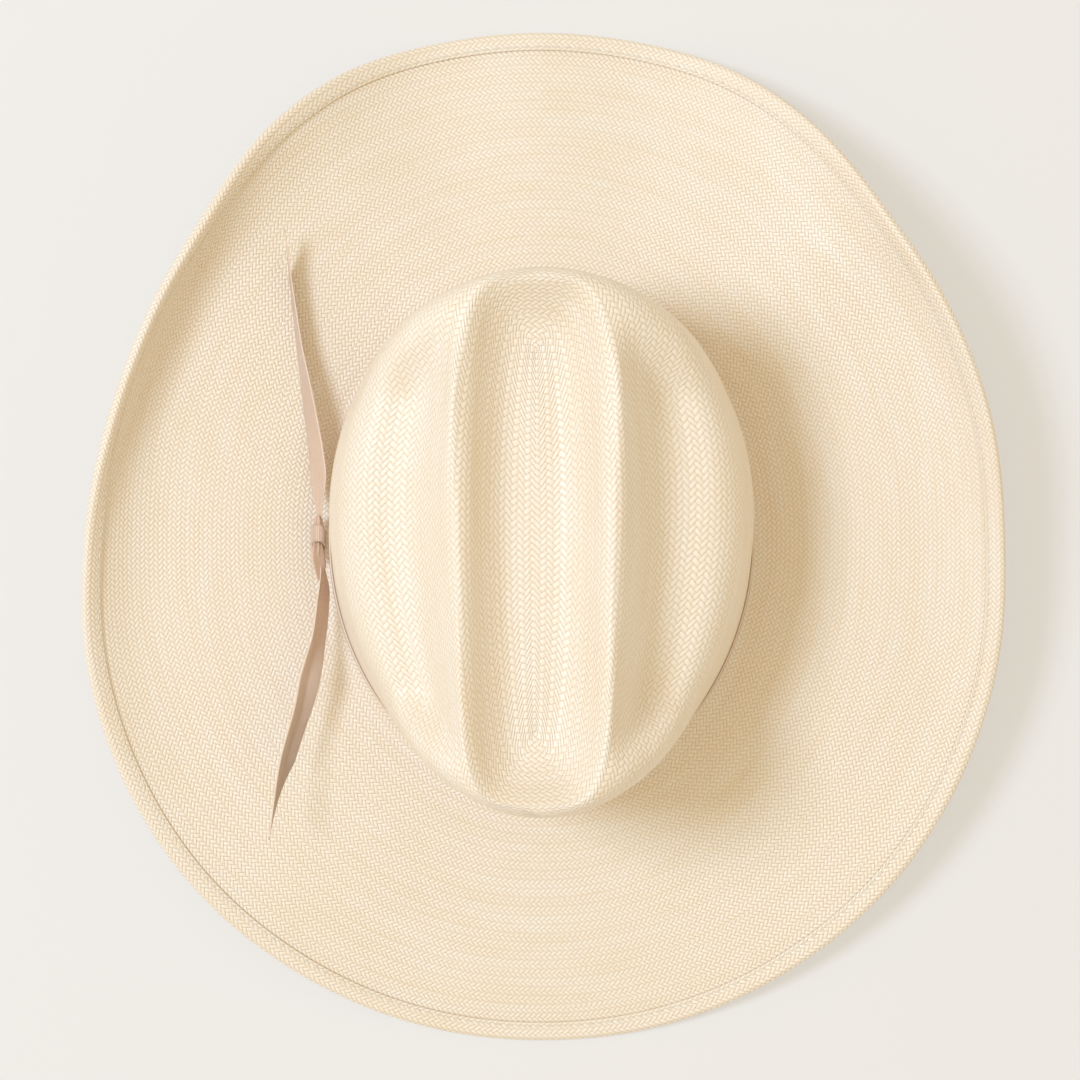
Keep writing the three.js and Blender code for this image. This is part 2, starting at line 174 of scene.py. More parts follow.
def dentShare(angles):
    # how much of the side dent there is at each angle: none toward the front and the back
    towardFront = np.cos(angles)
    front = 1 - smoothStep(towardFront, *hatSizes["dentFront"])
    back = 1 - smoothStep(-towardFront, *hatSizes["dentBack"])
    return np.where(towardFront > 0, front, back)


def crownPoints(angles):
    # the points that the crown's section passes through, from the valley down to the brim
    sine, cosine = np.sin(angles), np.cos(angles)
    dent = dentShare(angles)
    tilt = hatSizes["crownTilt"] * cosine
    middleX, middleY = hatSizes["ridgeCentreX"], hatSizes["shoulderCentreY"]
    centre = np.stack([np.full_like(sine, middleX), middleY - hatSizes["valleyHalfLength"] * cosine], -1)
    power = hatSizes["ridgePower"]
    ridgeSpread = np.maximum(1 - np.abs(cosine) ** power, 0) ** (1 / power)
    ridgeOut = np.sign(sine) * hatSizes["ridgeHalfWidth"] * ridgeSpread
    ridge = np.stack([middleX + ridgeOut, middleY - hatSizes["ridgeHalfLength"] * cosine], -1)
    shoulderOut = hatSizes["shoulderHalfWidth"] * sine * (1 + hatSizes["shoulderTaper"] * cosine)
    shoulderX = hatSizes["headCentre"][0] + shoulderOut
    shoulder = np.stack([shoulderX, middleY - hatSizes["shoulderHalfLength"] * cosine], -1)
    points = []
    for out, side, end in valleyStations:
        plan = centre + (ridge - centre) * out
        height = hatSizes["valleyFloor"] + tilt + side + (end - side) * cosine ** hatSizes["endPower"]
        points.append(np.concatenate([plan, height[:, None]], axis=1))
    cornerDrop = hatSizes["cornerRounding"] * (1 - dent) * sine * sine
    dentTilt = hatSizes["dentFall"] * cosine
    for out, side, end in crownStations:
        plan = ridge + (shoulder - ridge) * out
        rounded = end - cornerDrop * out * out
        height = tilt + rounded + (side + dentTilt - rounded) * dent
        points.append(np.concatenate([plan, height[:, None]], axis=1))
    foot = breakHeight(angles)
    top = points[-1]
    wallFoot, *bend = (headOval(angles, out, foot + rise) for out, rise in wallFootPoints)
    points += [top + (wallFoot - top) * share for share in wallShares]
    points += [wallFoot, *bend]
    return np.stack(points, axis=1)


def smoothLines(points, samples=spanSamples):
    # a smooth line through each row of points
    first = 2 * points[:, :1] - points[:, 1:2]
    last = 2 * points[:, -1:] - points[:, -2:-1]
    points = np.concatenate([first, points, last], axis=1)
    gaps = np.sqrt(np.linalg.norm(np.diff(points, axis=1), axis=2))[..., None]
    gaps = np.maximum(gaps, 1e-4)
    share = (np.arange(samples) / samples)[None, None, :, None]
    p0, p1, p2, p3 = (points[:, k:k - 3 or None] for k in range(4))
    d0, d1, d2 = (gaps[:, k:k - 2 or None] for k in range(3))
    leave = ((p1 - p0) / d0 - (p2 - p0) / (d0 + d1) + (p2 - p1) / d1) * d1
    arrive = ((p2 - p1) / d1 - (p3 - p1) / (d1 + d2) + (p3 - p2) / d2) * d1
    a, b = p1[:, :, None], p2[:, :, None]
    leave, arrive = leave[:, :, None], arrive[:, :, None]
    square, cube = share**2, share**3
    lines = (2 * cube - 3 * square + 1) * a + (cube - 2 * square + share) * leave
    lines = lines + (3 * square - 2 * cube) * b + (cube - square) * arrive
    lines = lines.reshape(len(points), -1, 3)
    return np.concatenate([lines, points[:, -2:-1]], axis=1)


def evenly(lines, shares):
    # each line read again at these shares of its own length
    steps = np.linalg.norm(np.diff(lines, axis=1), axis=2)
    lengths = np.concatenate([np.zeros((len(lines), 1)), np.cumsum(steps, axis=1)], axis=1)
    result = np.empty((len(lines), len(shares), 3))
    for row, (line, length) in enumerate(zip(lines, lengths)):
        for axis in range(3):
            result[row, :, axis] = np.interp(shares * length[-1], length, line[:, axis])
    return result


def inMetres(points):
    shiftX, shiftY = hatSizes["centreShift"]
    return (np.asarray(points) + (shiftX, shiftY, -hatSizes["restHeight"])) * 0.001


def hatAngles(count):
    return np.arange(count) * 2 * math.pi / count


def newPiece(name, bm, material, smooth=True):
    mesh = bpy.data.meshes.new(name)
    bm.to_mesh(mesh)
    bm.free()
    for face in mesh.polygons:
        face.use_smooth = smooth
    piece = bpy.data.objects.new(name, mesh)
    bpy.context.scene.collection.objects.link(piece)
    mesh.materials.append(material)
    return piece


# points nearer than this, in metres, are one point
mergeReach = 0.000002


def gridPiece(name, grid, material, closed, uv, thickness=0, turned=False):
    # a sheet from rows of points: grid[i, j] in metres, i round or along it and j across.
    # turned puts its face on the other side.
    countI, countJ = grid.shape[0] + (1 if closed else 0), grid.shape[1]
    bm = bmesh.new()
    uvLayer = bm.loops.layers.uv.new("straw")
    bmesh.ops.create_grid(bm, x_segments=countI - 1, y_segments=countJ - 1, size=1)
    places = {}
    for vert in bm.verts:
        i = round((vert.co.x + 1) / 2 * (countI - 1))
        j = round((vert.co.y + 1) / 2 * (countJ - 1))
        places[vert] = (i, j)
    for face in bm.faces:
        corners = [places[loop.vert] for loop in face.loops]
        row = min(j for _, j in corners)
        for loop, (i, j) in zip(face.loops, corners):
            loop[uvLayer].uv = uv(i, j, row)
    for vert, (i, j) in places.items():
        vert.co = grid[i % grid.shape[0], j]
    bmesh.ops.remove_doubles(bm, verts=bm.verts, dist=mergeReach)
    if turned:
        bmesh.ops.reverse_faces(bm, faces=bm.faces)
    piece = newPiece(name, bm, material)
    if thickness:
        wall = piece.modifiers.new("thickness", "SOLIDIFY")
        wall.thickness = thickness
        wall.offset = -1
        wall.use_rim = True
    return piece


class Nodes:
    # a short way to write a material's nodes
    def __init__(self, name):
        self.material = bpy.data.materials.new(name)
        self.material.use_nodes = True
        self.tree = self.material.node_tree
        self.shader = self.tree.nodes["Principled BSDF"]

    def put(self, target, value):
        if isinstance(value, bpy.types.NodeSocket):
            self.tree.links.new(value, target)
        elif value is not None:
            target.default_value = value

    def math(self, operation, *values, clamp=False):
        node = self.tree.nodes.new("ShaderNodeMath")
        node.operation = operation
        node.use_clamp = clamp
        for target, value in zip(node.inputs, values):
            self.put(target, value)
        return node.outputs[0]

    def mix(self, share, first, second):
        node = self.tree.nodes.new("ShaderNodeMix")
        node.data_type = "RGBA"
        self.put(node.inputs["Factor"], share)
        self.put(node.inputs["A"], first if not isinstance(first, tuple) else (*first, 1))
        self.put(node.inputs["B"], second if not isinstance(second, tuple) else (*second, 1))
        return node.outputs["Result"]

    def between(self, value, low, high):
        node = self.tree.nodes.new("ShaderNodeMapRange")
        node.interpolation_type = "SMOOTHSTEP"
        for target, number in zip(node.inputs, (value, low, high, 0.0, 1.0)):
            self.put(target, number)
        return node.outputs[0]

    def noise(self, vector, scale, detail):
        node = self.tree.nodes.new("ShaderNodeTexNoise")
        self.put(node.inputs["Vector"], vector)
        node.inputs["Scale"].default_value = scale
        node.inputs["Detail"].default_value = detail
        return node.outputs["Fac"]

    def random(self, value):
        node = self.tree.nodes.new("ShaderNodeTexWhiteNoise")
        node.noise_dimensions = "1D"
        self.put(node.inputs["W"], value)
        return node.outputs["Value"]

    def places(self):
        return self.tree.nodes.new("ShaderNodeTexCoord").outputs["Object"]

    def alongAcross(self):
        uvNode = self.tree.nodes.new("ShaderNodeUVMap")
        uvNode.uv_map = "straw"
        parts = self.tree.nodes.new("ShaderNodeSeparateXYZ")
        self.tree.links.new(uvNode.outputs["UV"], parts.inputs[0])
        return parts.outputs[0], parts.outputs[1]

    def join(self, x, y, z=0.0):
        node = self.tree.nodes.new("ShaderNodeCombineXYZ")
        for target, value in zip(node.inputs, (x, y, z)):
            self.put(target, value)
        return node.outputs[0]

    def bump(self, height, distance):
        node = self.tree.nodes.new("ShaderNodeBump")
        node.inputs["Strength"].default_value = 1.0
        node.inputs["Distance"].default_value = distance
        self.tree.links.new(height, node.inputs["Height"])
        self.tree.links.new(node.outputs[0], self.shader.inputs["Normal"])

    def finish(self, colour, roughness, **sockets):
        if isinstance(colour, tuple):
            colour = (*colour, 1)
        self.put(self.shader.inputs["Base Color"], colour)
        self.put(self.shader.inputs["Roughness"], roughness)
        for name, value in sockets.items():
            self.put(self.shader.inputs[name.replace("_", " ")], value)
        return self.material


strawLook = {
    "strawTop": (0.95, 0.885, 0.79),
    "strawLow": (0.92, 0.785, 0.60),
    # painted shade: this is the dark golden colour of straw in shade, laid on the strands' edges and
    # crossings where shade falls between strands
    "gapShade": (0.58, 0.38, 0.14),
    "bumpDepth": 0.0004,
    "strandSpread": 0.05,
    "wander": 0.07,
    "fibreTint": 0.35,
    "streakTint": 1.1,
    "cloudTint": 0.35,
    "seamShade": 0.15,
    "holeShade": 0.75,
    "roughness": 0.40,
}


def wovenStraw(name, look):
    # a two over, two under twill: its strands cross at 45 degrees, so that its rows read as a
    # herringbone. The map counts strands along a row and rows across it.
    n = Nodes(name)
    along, across = n.alongAcross()
    spot = n.places()
    driftA = n.math("MULTIPLY", n.math("SUBTRACT", n.noise(spot, 140.0, 1.0), 0.5), look["wander"] * 4)
    driftB = n.math("MULTIPLY", n.math("SUBTRACT", n.noise(spot, 95.0, 1.0), 0.5), look["wander"] * 4)
    double = n.math("MULTIPLY", across, 2.0)
    strandA = n.math("ADD", n.math("ADD", along, double), driftA)
    strandB = n.math("ADD", n.math("SUBTRACT", along, double), driftB)
    indexA, indexB = n.math("FLOOR", strandA), n.math("FLOOR", strandB)
    insideA, insideB = n.math("SUBTRACT", strandA, indexA), n.math("SUBTRACT", strandB, indexB)
    phase = n.math("FLOORED_MODULO", n.math("SUBTRACT", indexA, indexB), 4.0)
    topIsB = n.math("GREATER_THAN", phase, 1.5)
    topIsA = n.math("SUBTRACT", 1.0, topIsB)

    def choose(forA, forB):
        return n.math("ADD", n.math("MULTIPLY", forA, topIsA), n.math("MULTIPLY", forB, topIsB))

    side = n.math("SUBTRACT", n.math("MULTIPLY", choose(insideA, insideB), 2.0), 1.0)
    lengthA = n.math("MULTIPLY", n.math("ADD", n.math("SUBTRACT", 1.0, phase), insideB), 0.5)
    lengthB = n.math("MULTIPLY", n.math("ADD", n.math("SUBTRACT", phase, 2.0), insideA), 0.5)
    run = n.math("SUBTRACT", n.math("MULTIPLY", choose(lengthA, lengthB), 2.0), 1.0)
    sideAway, runAway = n.math("ABSOLUTE", side), n.math("ABSOLUTE", run)
    crown = n.math("SQRT", n.math("SUBTRACT", 1.0, n.math("MULTIPLY", n.math("POWER", sideAway, 2.2), 0.92)))
    dive = n.math("SUBTRACT", 1.0, n.math("MULTIPLY", n.math("POWER", runAway, 2.6), 0.75))
    height = n.math("MULTIPLY", crown, dive)
    strandName = choose(n.math("ADD", indexA, 0.31), n.math("ADD", n.math("MULTIPLY", indexB, 1.7), 91.3))
    tint = n.random(strandName)
    fibre = n.noise(n.join(n.math("MULTIPLY", side, 3.0), n.math("MULTIPLY", run, 0.5), strandName), 2.0, 2.0)
    # painted shade: these masks darken each strand's sides, its ends where it dives under, and the holes at
    # the crossings, with the colour of straw in shade
    edge = n.between(sideAway, 0.78, 1.0)
    ends = n.between(runAway, 0.80, 1.0)
    seam = n.math("MAXIMUM", edge, ends)
    hole = n.math("MULTIPLY", n.between(sideAway, 0.72, 1.0), n.between(runAway, 0.55, 1.0))
    strandTint = n.math("MULTIPLY", tint, look["strandSpread"] * 4)
    shade = n.math("ADD", strandTint, n.math("MULTIPLY", fibre, look["fibreTint"]))
    broad = n.noise(spot, 14.0, 3.0)
    streak = n.noise(n.join(n.math("MULTIPLY", along, 0.05), n.math("MULTIPLY", across, 0.55)), 1.0, 2.0)
    shade = n.math("ADD", shade, n.math("MULTIPLY", n.math("SUBTRACT", streak, 0.5), look["streakTint"]))
    shade = n.math("ADD", shade, n.math("MULTIPLY", broad, look["cloudTint"]), clamp=True)
    body = n.mix(shade, look["strawTop"], look["strawLow"])
    # painted shade in the weave's recesses
    lined = n.mix(n.math("MULTIPLY", seam, look["seamShade"]), body, look["gapShade"])
    colour = n.mix(n.math("MULTIPLY", hole, look["holeShade"]), lined, look["gapShade"])
    rough = n.math("ADD", look["roughness"], n.math("MULTIPLY", n.math("ADD", fibre, seam), 0.16))
    relief = n.math("ADD", height, n.math("MULTIPLY", fibre, 0.08))
    n.bump(relief, look["bumpDepth"])
    return n.finish(colour, rough, Specular_IOR_Level=0.8, Coat_Weight=0.35, Coat_Roughness=0.42)


ribbonLook = {
    "ribbon": (0.84, 0.64, 0.51),
    # partly painted shade: this deeper colour stands for shade in the hollows between the ribs, and also for
    # tone that differs at random
    "ribbonToneAndShade": (0.70, 0.49, 0.36),
    "edgeThread": (0.90, 0.76, 0.65),
    "ribPitch": 0.0008,
    "halfWidth": 0.005,
}


def grosgrain(name, look):
    # ribs run across the ribbon, with a smooth selvedge down each side. The map is in metres.
    n = Nodes(name)
    along, across = n.alongAcross()
    wave = n.math("SINE", n.math("MULTIPLY", along, 2 * math.pi / look["ribPitch"]))
    rib = n.math("ADD", n.math("MULTIPLY", wave, 0.5), 0.5)
    spot = n.places()
    cloud = n.noise(spot, 120.0, 3.0)
    weave = n.noise(n.join(n.math("MULTIPLY", along, 9000.0), n.math("MULTIPLY", across, 2500.0)), 1.0, 1.0)
    away = n.math("ABSOLUTE", across)
    selvedge = n.between(away, look["halfWidth"] * 0.86, look["halfWidth"] * 0.93)
    # painted shade: the colour darkens in the hollows between the ribs; the cloud adds deeper tone at random
    hollowShade = n.math("MULTIPLY", n.math("SUBTRACT", 1.0, rib), 0.6)
    shade = n.math("ADD", hollowShade, n.math("MULTIPLY", cloud, 0.4), clamp=True)
    cloth = n.mix(shade, look["ribbon"], look["ribbonToneAndShade"])
    cloth = n.mix(n.math("MULTIPLY", weave, 0.25), cloth, look["edgeThread"])
    colour = n.mix(n.math("MULTIPLY", selvedge, 0.6), cloth, look["edgeThread"])
    ribbed = n.math("MULTIPLY", rib, n.math("SUBTRACT", 1.0, selvedge))
    relief = n.math("ADD", ribbed, n.math("MULTIPLY", weave, 0.3))
    n.bump(relief, 0.0002)
    rough = n.math("ADD", 0.55, n.math("MULTIPLY", cloud, 0.2))
    return n.finish(colour, rough, Sheen_Weight=0.35, Sheen_Roughness=0.4)


def spunThread(name, colour):
    n = Nodes(name)
    spot = n.places()
    twist = n.noise(spot, 3200.0, 2.0)
    cloud = n.noise(spot, 60.0, 2.0)
    shade = n.math("ADD", n.math("MULTIPLY", twist, 0.5), n.math("MULTIPLY", cloud, 0.3), clamp=True)
    deep = tuple(value * 0.72 for value in colour)
    n.bump(twist, 0.00008)
    return n.finish(n.mix(shade, colour, deep), 0.6, Sheen_Weight=0.3)


leatherLook = {"hide": (0.42, 0.24, 0.12), "worn": (0.58, 0.38, 0.21), "deep": (0.20, 0.10, 0.05)}


def tannedLeather(name, look):
    n = Nodes(name)
    spot = n.places()
    pores = n.tree.nodes.new("ShaderNodeTexVoronoi")
    pores.inputs["Scale"].default_value = 900.0
    n.put(pores.inputs["Vector"], spot)
    grain = n.between(pores.outputs["Distance"], 0.0, 0.6)
    cloud = n.noise(spot, 30.0, 4.0)
    fine = n.noise(spot, 700.0, 3.0)
    hide = n.mix(cloud, look["hide"], look["worn"])
    colour = n.mix(n.math("MULTIPLY", n.math("SUBTRACT", 1.0, grain), 0.35), hide, look["deep"])
    n.bump(n.math("ADD", grain, n.math("MULTIPLY", fine, 0.4)), 0.00010)
    return n.finish(colour, n.math("ADD", 0.42, n.math("MULTIPLY", cloud, 0.22)), Specular_IOR_Level=0.45)


def tapeCloth(name, colour):
    n = Nodes(name)
    spot = n.places()
    weft = n.noise(spot, 1500.0, 2.0)
    cloud = n.noise(spot, 50.0, 3.0)
    shade = n.math("ADD", n.math("MULTIPLY", weft, 0.5), n.math("MULTIPLY", cloud, 0.3), clamp=True)
    n.bump(weft, 0.0001)
    return n.finish(n.mix(shade, colour, tuple(value * 0.75 for value in colour)), 0.8, Sheen_Weight=0.2)


def drawnSteel(name):
    n = Nodes(name)
    spot = n.places()
    streak = n.noise(spot, 400.0, 3.0)
    n.bump(streak, 0.00003)
    colour = n.mix(streak, (0.62, 0.62, 0.60), (0.45, 0.44, 0.42))
    return n.finish(colour, n.math("ADD", 0.25, n.math("MULTIPLY", streak, 0.2)), Metallic=1.0)


def mouldedReed(name):
    n = Nodes(name)
    spot = n.places()
    cloud = n.noise(spot, 80.0, 3.0)
    n.bump(n.noise(spot, 900.0, 2.0), 0.00004)
    return n.finish(n.mix(cloud, (0.86, 0.83, 0.75), (0.74, 0.69, 0.58)), 0.45)


straw = wovenStraw("straw weave", strawLook)
ribbonCloth = grosgrain("ribbon grosgrain", ribbonLook)
threadCotton = spunThread("sewing thread", (0.90, 0.84, 0.72))
sweatLeather = tannedLeather("sweatband leather", leatherLook)
cottonTape = tapeCloth("cotton tape", (0.84, 0.80, 0.70))
wireSteel = drawnSteel("edge wire steel")
reedPlastic = mouldedReed("reed plastic")
print("finishes made")


strawSkin = {
    "around": 240,
    "crownPeriods": 34,
    "brimPeriods": 27,
    "crownRows": 3,
    "brimRows": 2,
    "crownPitch": 2.85,
    "brimPitch": 2.2,
    "bandPeriods": 4,
    "edgeInset": 3.4,
}


def strawRows(look, angles):
    crownCount = look["crownPeriods"] * look["crownRows"]
    brimCount = look["brimPeriods"] * look["brimRows"]
    crown = evenly(smoothLines(crownPoints(angles)), np.linspace(0, 1, crownCount + 1))
    brim = np.concatenate([crown[:, -1:], brimLines(angles)[:, 3:]], axis=1)
    keep = 1 - look["edgeInset"] / brimValue(angles, 3)
    shares = np.linspace(0, 1, brimCount + 1)[1:]
    outer = np.stack([evenly(brim[k:k + 1], shares * keep[k])[0] for k in range(len(angles))])
    return np.concatenate([crown, outer], axis=1)


def makeStraw(look):
    angles = hatAngles(look["around"])
    rows = strawRows(look, angles)
    crownCount = look["crownPeriods"] * look["crownRows"]
    ring = np.linalg.norm(np.roll(rows, -1, axis=0) - rows, axis=2)
    run = np.concatenate([np.zeros((1, rows.shape[1])), np.cumsum(ring, axis=0)], axis=0)
    share = run / run[-1]

    def period(row):
        if row <= crownCount:
            return row / look["crownRows"]
        return look["crownPeriods"] + (row - crownCount) / look["brimRows"]

    def strands(row):
        # how many strands cross a row: the same through each band of rows
        inCrown = row < crownCount
        span = look["bandPeriods"] * (look["crownRows"] if inCrown else look["brimRows"])
        first = 0 if inCrown else crownCount
        middle = min(first + (row - first) // span * span + span // 2, rows.shape[1] - 1)
        pitch = look["crownPitch"] if inCrown else look["brimPitch"]
        return round(run[-1][middle] / pitch)

    counts = [strands(row) for row in range(rows.shape[1])]
    piece = gridPiece(
        "straw_skin",
        inMetres(rows),
        straw,
        closed=True,
        uv=lambda i, j, row: (share[i, j] * counts[row], period(j)),
        thickness=hatSizes["strawThickness"] * 0.001,
        turned=True,
    )
    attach(piece, "hat")
    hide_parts("straw_body")
    return piece


makeStraw(strawSkin)
print("straw made")


def brimPlaces(angles, fromEdge):
    lines = brimLines(angles)
    place = np.clip(1 - fromEdge / brimValue(angles, 3), 0, 1) * brimSlices
    slot = np.minimum(np.floor(place), brimSlices - 1).astype(int)
    share = (place - slot)[:, None]
    every = np.arange(len(angles))
    return lines[every, slot] * (1 - share) + lines[every, slot + 1] * share


def brimRing(count, outline, clearance=0.02):
    # rings round the brim, each (distance in from the edge, height above the straw's face)
    angles = hatAngles(count)
    lowest = hatSizes["restHeight"] + clearance
    rings = []
    for fromEdge, offset in outline:
        base = brimPlaces(angles, fromEdge)
        along = brimPlaces(angles, max(fromEdge - 1.5, 0)) - brimPlaces(angles, fromEdge + 1.5)
        around = np.roll(base, -1, axis=0) - np.roll(base, 1, axis=0)
        normal = np.cross(around, along)
        normal *= np.sign(normal[:, 2:3])
        normal /= np.linalg.norm(normal, axis=1, keepdims=True)
        ring = base + normal * offset
        ring[:, 2] = np.maximum(ring[:, 2], lowest)
        rings.append(ring)
    return np.stack(rings, axis=1)


edgeFold = {
    "around": 360,
    "width": 8.0,
    "above": 1.25,
    "below": -2.75,
    "stitchLine": 6.4,
    "stitchSink": 0.28,
    "stitchDip": 0.45,
    "lipFrom": 6.8,
    "lipWidth": 1.2,
    "lipDepth": 0.75,
    "roundness": 2.0,
    "rowPeriod": 3.9,
    "strands": 530,
    "thickness": 0.0008,
}


def foldOutline(look):
    # over the edge: the upper leaf, the round fold, and the under leaf, sunk along the stitches
    away = np.array([look["width"], 7.6, 7.0, 6.6, 6.2, 5.8, 5.0, 4.0, 3.0, look["roundness"]])
    sink = look["stitchSink"] * np.exp(-(((away - look["stitchLine"]) / look["stitchDip"]) ** 2))
    lip = look["lipDepth"] * np.clip((away - look["lipFrom"]) / look["lipWidth"], 0, 1) ** 2
    upper = list(zip(away, look["above"] - sink - lip))
    under = list(zip(away[::-1], (look["below"] + sink + lip)[::-1]))
    middle, half = (look["above"] + look["below"]) / 2, (look["above"] - look["below"]) / 2
    turns = np.linspace(math.pi / 2, -math.pi / 2, 11)[1:-1]
    fold = [(look["roundness"] * (1 - math.cos(t)), middle + half * math.sin(t)) for t in turns]
    return upper + fold + under


def makeEdgeFold(look):
    outline = foldOutline(look)
    rings = brimRing(look["around"], outline)
    steps = [math.dist(a, b) for a, b in zip(outline, outline[1:])]
    run = np.concatenate([[0], np.cumsum(steps)]) / look["rowPeriod"]
    piece = gridPiece(
        "edge_fold",
        inMetres(rings),
        straw,
        closed=True,
        uv=lambda i, j, row: (i * look["strands"] / look["around"], run[j]),
        thickness=look["thickness"],
        turned=True,
    )
    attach(piece, "hat")
    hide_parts("edge_binding")


makeEdgeFold(edgeFold)

stitchRow = {"count": 292, "halfLength": 1.45, "halfWidth": 0.36, "halfHeight": 0.26, "sunk": 0.05}


def makeStitches(name, node, body, ring, normals, look):
    # one short rounded stitch after another along a ring of points, in millimetres
    closed = np.concatenate([ring, ring[:1]])
    length = np.concatenate([[0], np.cumsum(np.linalg.norm(np.diff(closed, axis=0), axis=1))])
    spots = (np.arange(look["count"]) + 0.5) / look["count"] * length[-1]
    closedNormals = np.concatenate([normals, normals[:1]])

    def read(values, places):
        return np.stack([np.interp(places % length[-1], length, values[:, axis]) for axis in range(3)], -1)

    middles = inMetres(read(closed, spots))
    heads = read(closed, spots + 0.6) - read(closed, spots - 0.6)
    ups = read(closedNormals, spots)
    size = [look[key] * 0.001 for key in ("halfLength", "halfWidth", "halfHeight")]
    bm = bmesh.new()
    for middle, head, up in zip(middles, heads, ups):
        forward = Vector(head).normalized()
        sideways = Vector(up).cross(forward).normalized()
        upward = forward.cross(sideways)
        turn = Matrix((forward, sideways, upward)).transposed().to_4x4()
        place = Matrix.Translation(Vector(middle)) @ turn @ Matrix.Diagonal((*size, 1))
        bmesh.ops.create_uvsphere(bm, u_segments=8, v_segments=6, radius=1, matrix=place)
    piece = newPiece(name, bm, threadCotton)
    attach(piece, body)
    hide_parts(node)


def makeEdgeStitches(look):
    for name, node, face, way in (
        ("edge_stitches_upper", "edge_stitching_upper", edgeFold["above"], 1),
        ("edge_stitches_under", "edge_stitching_under", edgeFold["below"], -1),
    ):
        offset = face + way * (look["halfHeight"] - edgeFold["stitchSink"] - look["sunk"])
        line = edgeFold["stitchLine"]
        rings = brimRing(720, [(line, offset), (line, offset + way)], look["halfHeight"] + 0.02)
        makeStitches(name, node, "hat", rings[:, 0], rings[:, 1] - rings[:, 0], look)


makeEdgeStitches(stitchRow)
print("edge made")


def wallPlaces(angles, height, offset):
    # points beside the crown's wall, a height above the brim
    lines = smoothLines(crownPoints(angles))
    wall = lines[:, -spanSamples * wallSpans:]
    level = breakHeight(angles) + height
    result = np.empty((len(angles), 3))
    for row, line in enumerate(wall):
        for axis in range(3):
            result[row, axis] = np.interp(level[row], line[::-1, 2], line[::-1, axis])
    result[:, 2] = level
    return result + headOval(angles, offset, 0) - headOval(angles, 0, 0)


def wallRing(count, outline):
    angles = hatAngles(count)
    return np.stack([wallPlaces(angles, height, offset) for height, offset in outline], axis=1)


def ringUv(rings, outline):
    # metres round the ring and metres across its outline
    length = np.linalg.norm(np.roll(rings, -1, axis=0) - rings, axis=2).mean(axis=1).sum() * 0.001
    steps = [math.dist(a, b) * 0.001 for a, b in zip(outline, outline[1:])]
    run = np.concatenate([[0], np.cumsum(steps)])
    run = run - run[-1] / 2
    return lambda i, j, row: (i * length / rings.shape[0], run[j])


sweatband = {"foot": 3.0, "height": 32.0, "outside": -2.6, "thickness": 1.2, "around": 180}
sweatStitchRow = {"count": 190, "halfLength": 1.15, "halfWidth": 0.3, "halfHeight": 0.22, "rise": 3.3}


def makeSweatband(look, stitches):
    foot, top = look["foot"], look["foot"] + look["height"]
    rise = np.linspace(0, 1, 15)
    outline = [(foot + (top - foot) * share, look["outside"]) for share in rise]
    rings = wallRing(look["around"], outline)
    band = gridPiece(
        "sweatband_leather",
        inMetres(rings),
        sweatLeather,
        closed=True,
        uv=ringUv(rings, outline),
        thickness=look["thickness"] * 0.001,
    )
    edge = band.modifiers.new("rounded edge", "BEVEL")
    edge.width = 0.0004
    edge.segments = 2
    edge.limit_method = "ANGLE"
    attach(band, "hat")
    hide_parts("sweatband")

    inside = look["outside"] - look["thickness"]
    line = foot + stitches["rise"]
    rings = wallRing(360, [(line, inside - 0.15), (line, inside - 1.15)])
    makeStitches(
        "sweatband_stitches", "sweatband_stitching", "hat", rings[:, 0], rings[:, 1] - rings[:, 0], stitches
    )


makeSweatband(sweatband, sweatStitchRow)
print("sweatband made")


ribbonBand = {"foot": 4.5, "width": 10.0, "offset": 0.8, "thickness": 0.0006, "around": 240}


def makeHatband(look):
    share = np.linspace(0, 1, 9)
    outline = [(look["foot"] + look["width"] * s, look["offset"]) for s in share]
    rings = wallRing(look["around"], outline)
    piece = gridPiece(
        "hatband_ribbon",
        inMetres(rings),
        ribbonCloth,
        closed=True,
        uv=ringUv(rings, outline),
        thickness=look["thickness"],
    )
    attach(piece, "hat")
    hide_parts("hatband")


makeHatband(ribbonBand)

# Each loose end: where its middle lies, how far its face has rolled over, and how deep it is
# creased along its length, from the knot to the tip.
frontTail = {
    "route": [
        (89.6, -7, 35.2), (90.4, -29, 37), (93.9, -53, 37),
        (97.5, -75, 36), (100.4, -97, 37.4), (103.6, -122.5, 39.6),
    ],
    "leans": [50, 40, 30, 15, 8, 5],
    "crease": [0.6, 0.3, 0.2, 0.3, 0.2, 0.0],
    "slant": 0.16,
}
rearTail = {
    "route": [
        (89.4, 9, 35), (88.8, 20, 36.4), (89.9, 35, 38), (92.2, 49, 40),
        (95.8, 66, 41), (101, 84, 42), (104.5, 98, 42), (108.6, 121, 43),
    ],
    "leans": [20, 25, 30, 55, 40, 36, 20, 8],
    "crease": [1.0, 1.8, 2.2, 2.0, 1.5, 0.9, 0.2],
    "slant": 0.28,
}
tailCut = {"width": 10.0, "gathered": 0.26, "gatherEnd": 0.17, "steps": 90, "across": 10, "thickness": 0.0005}


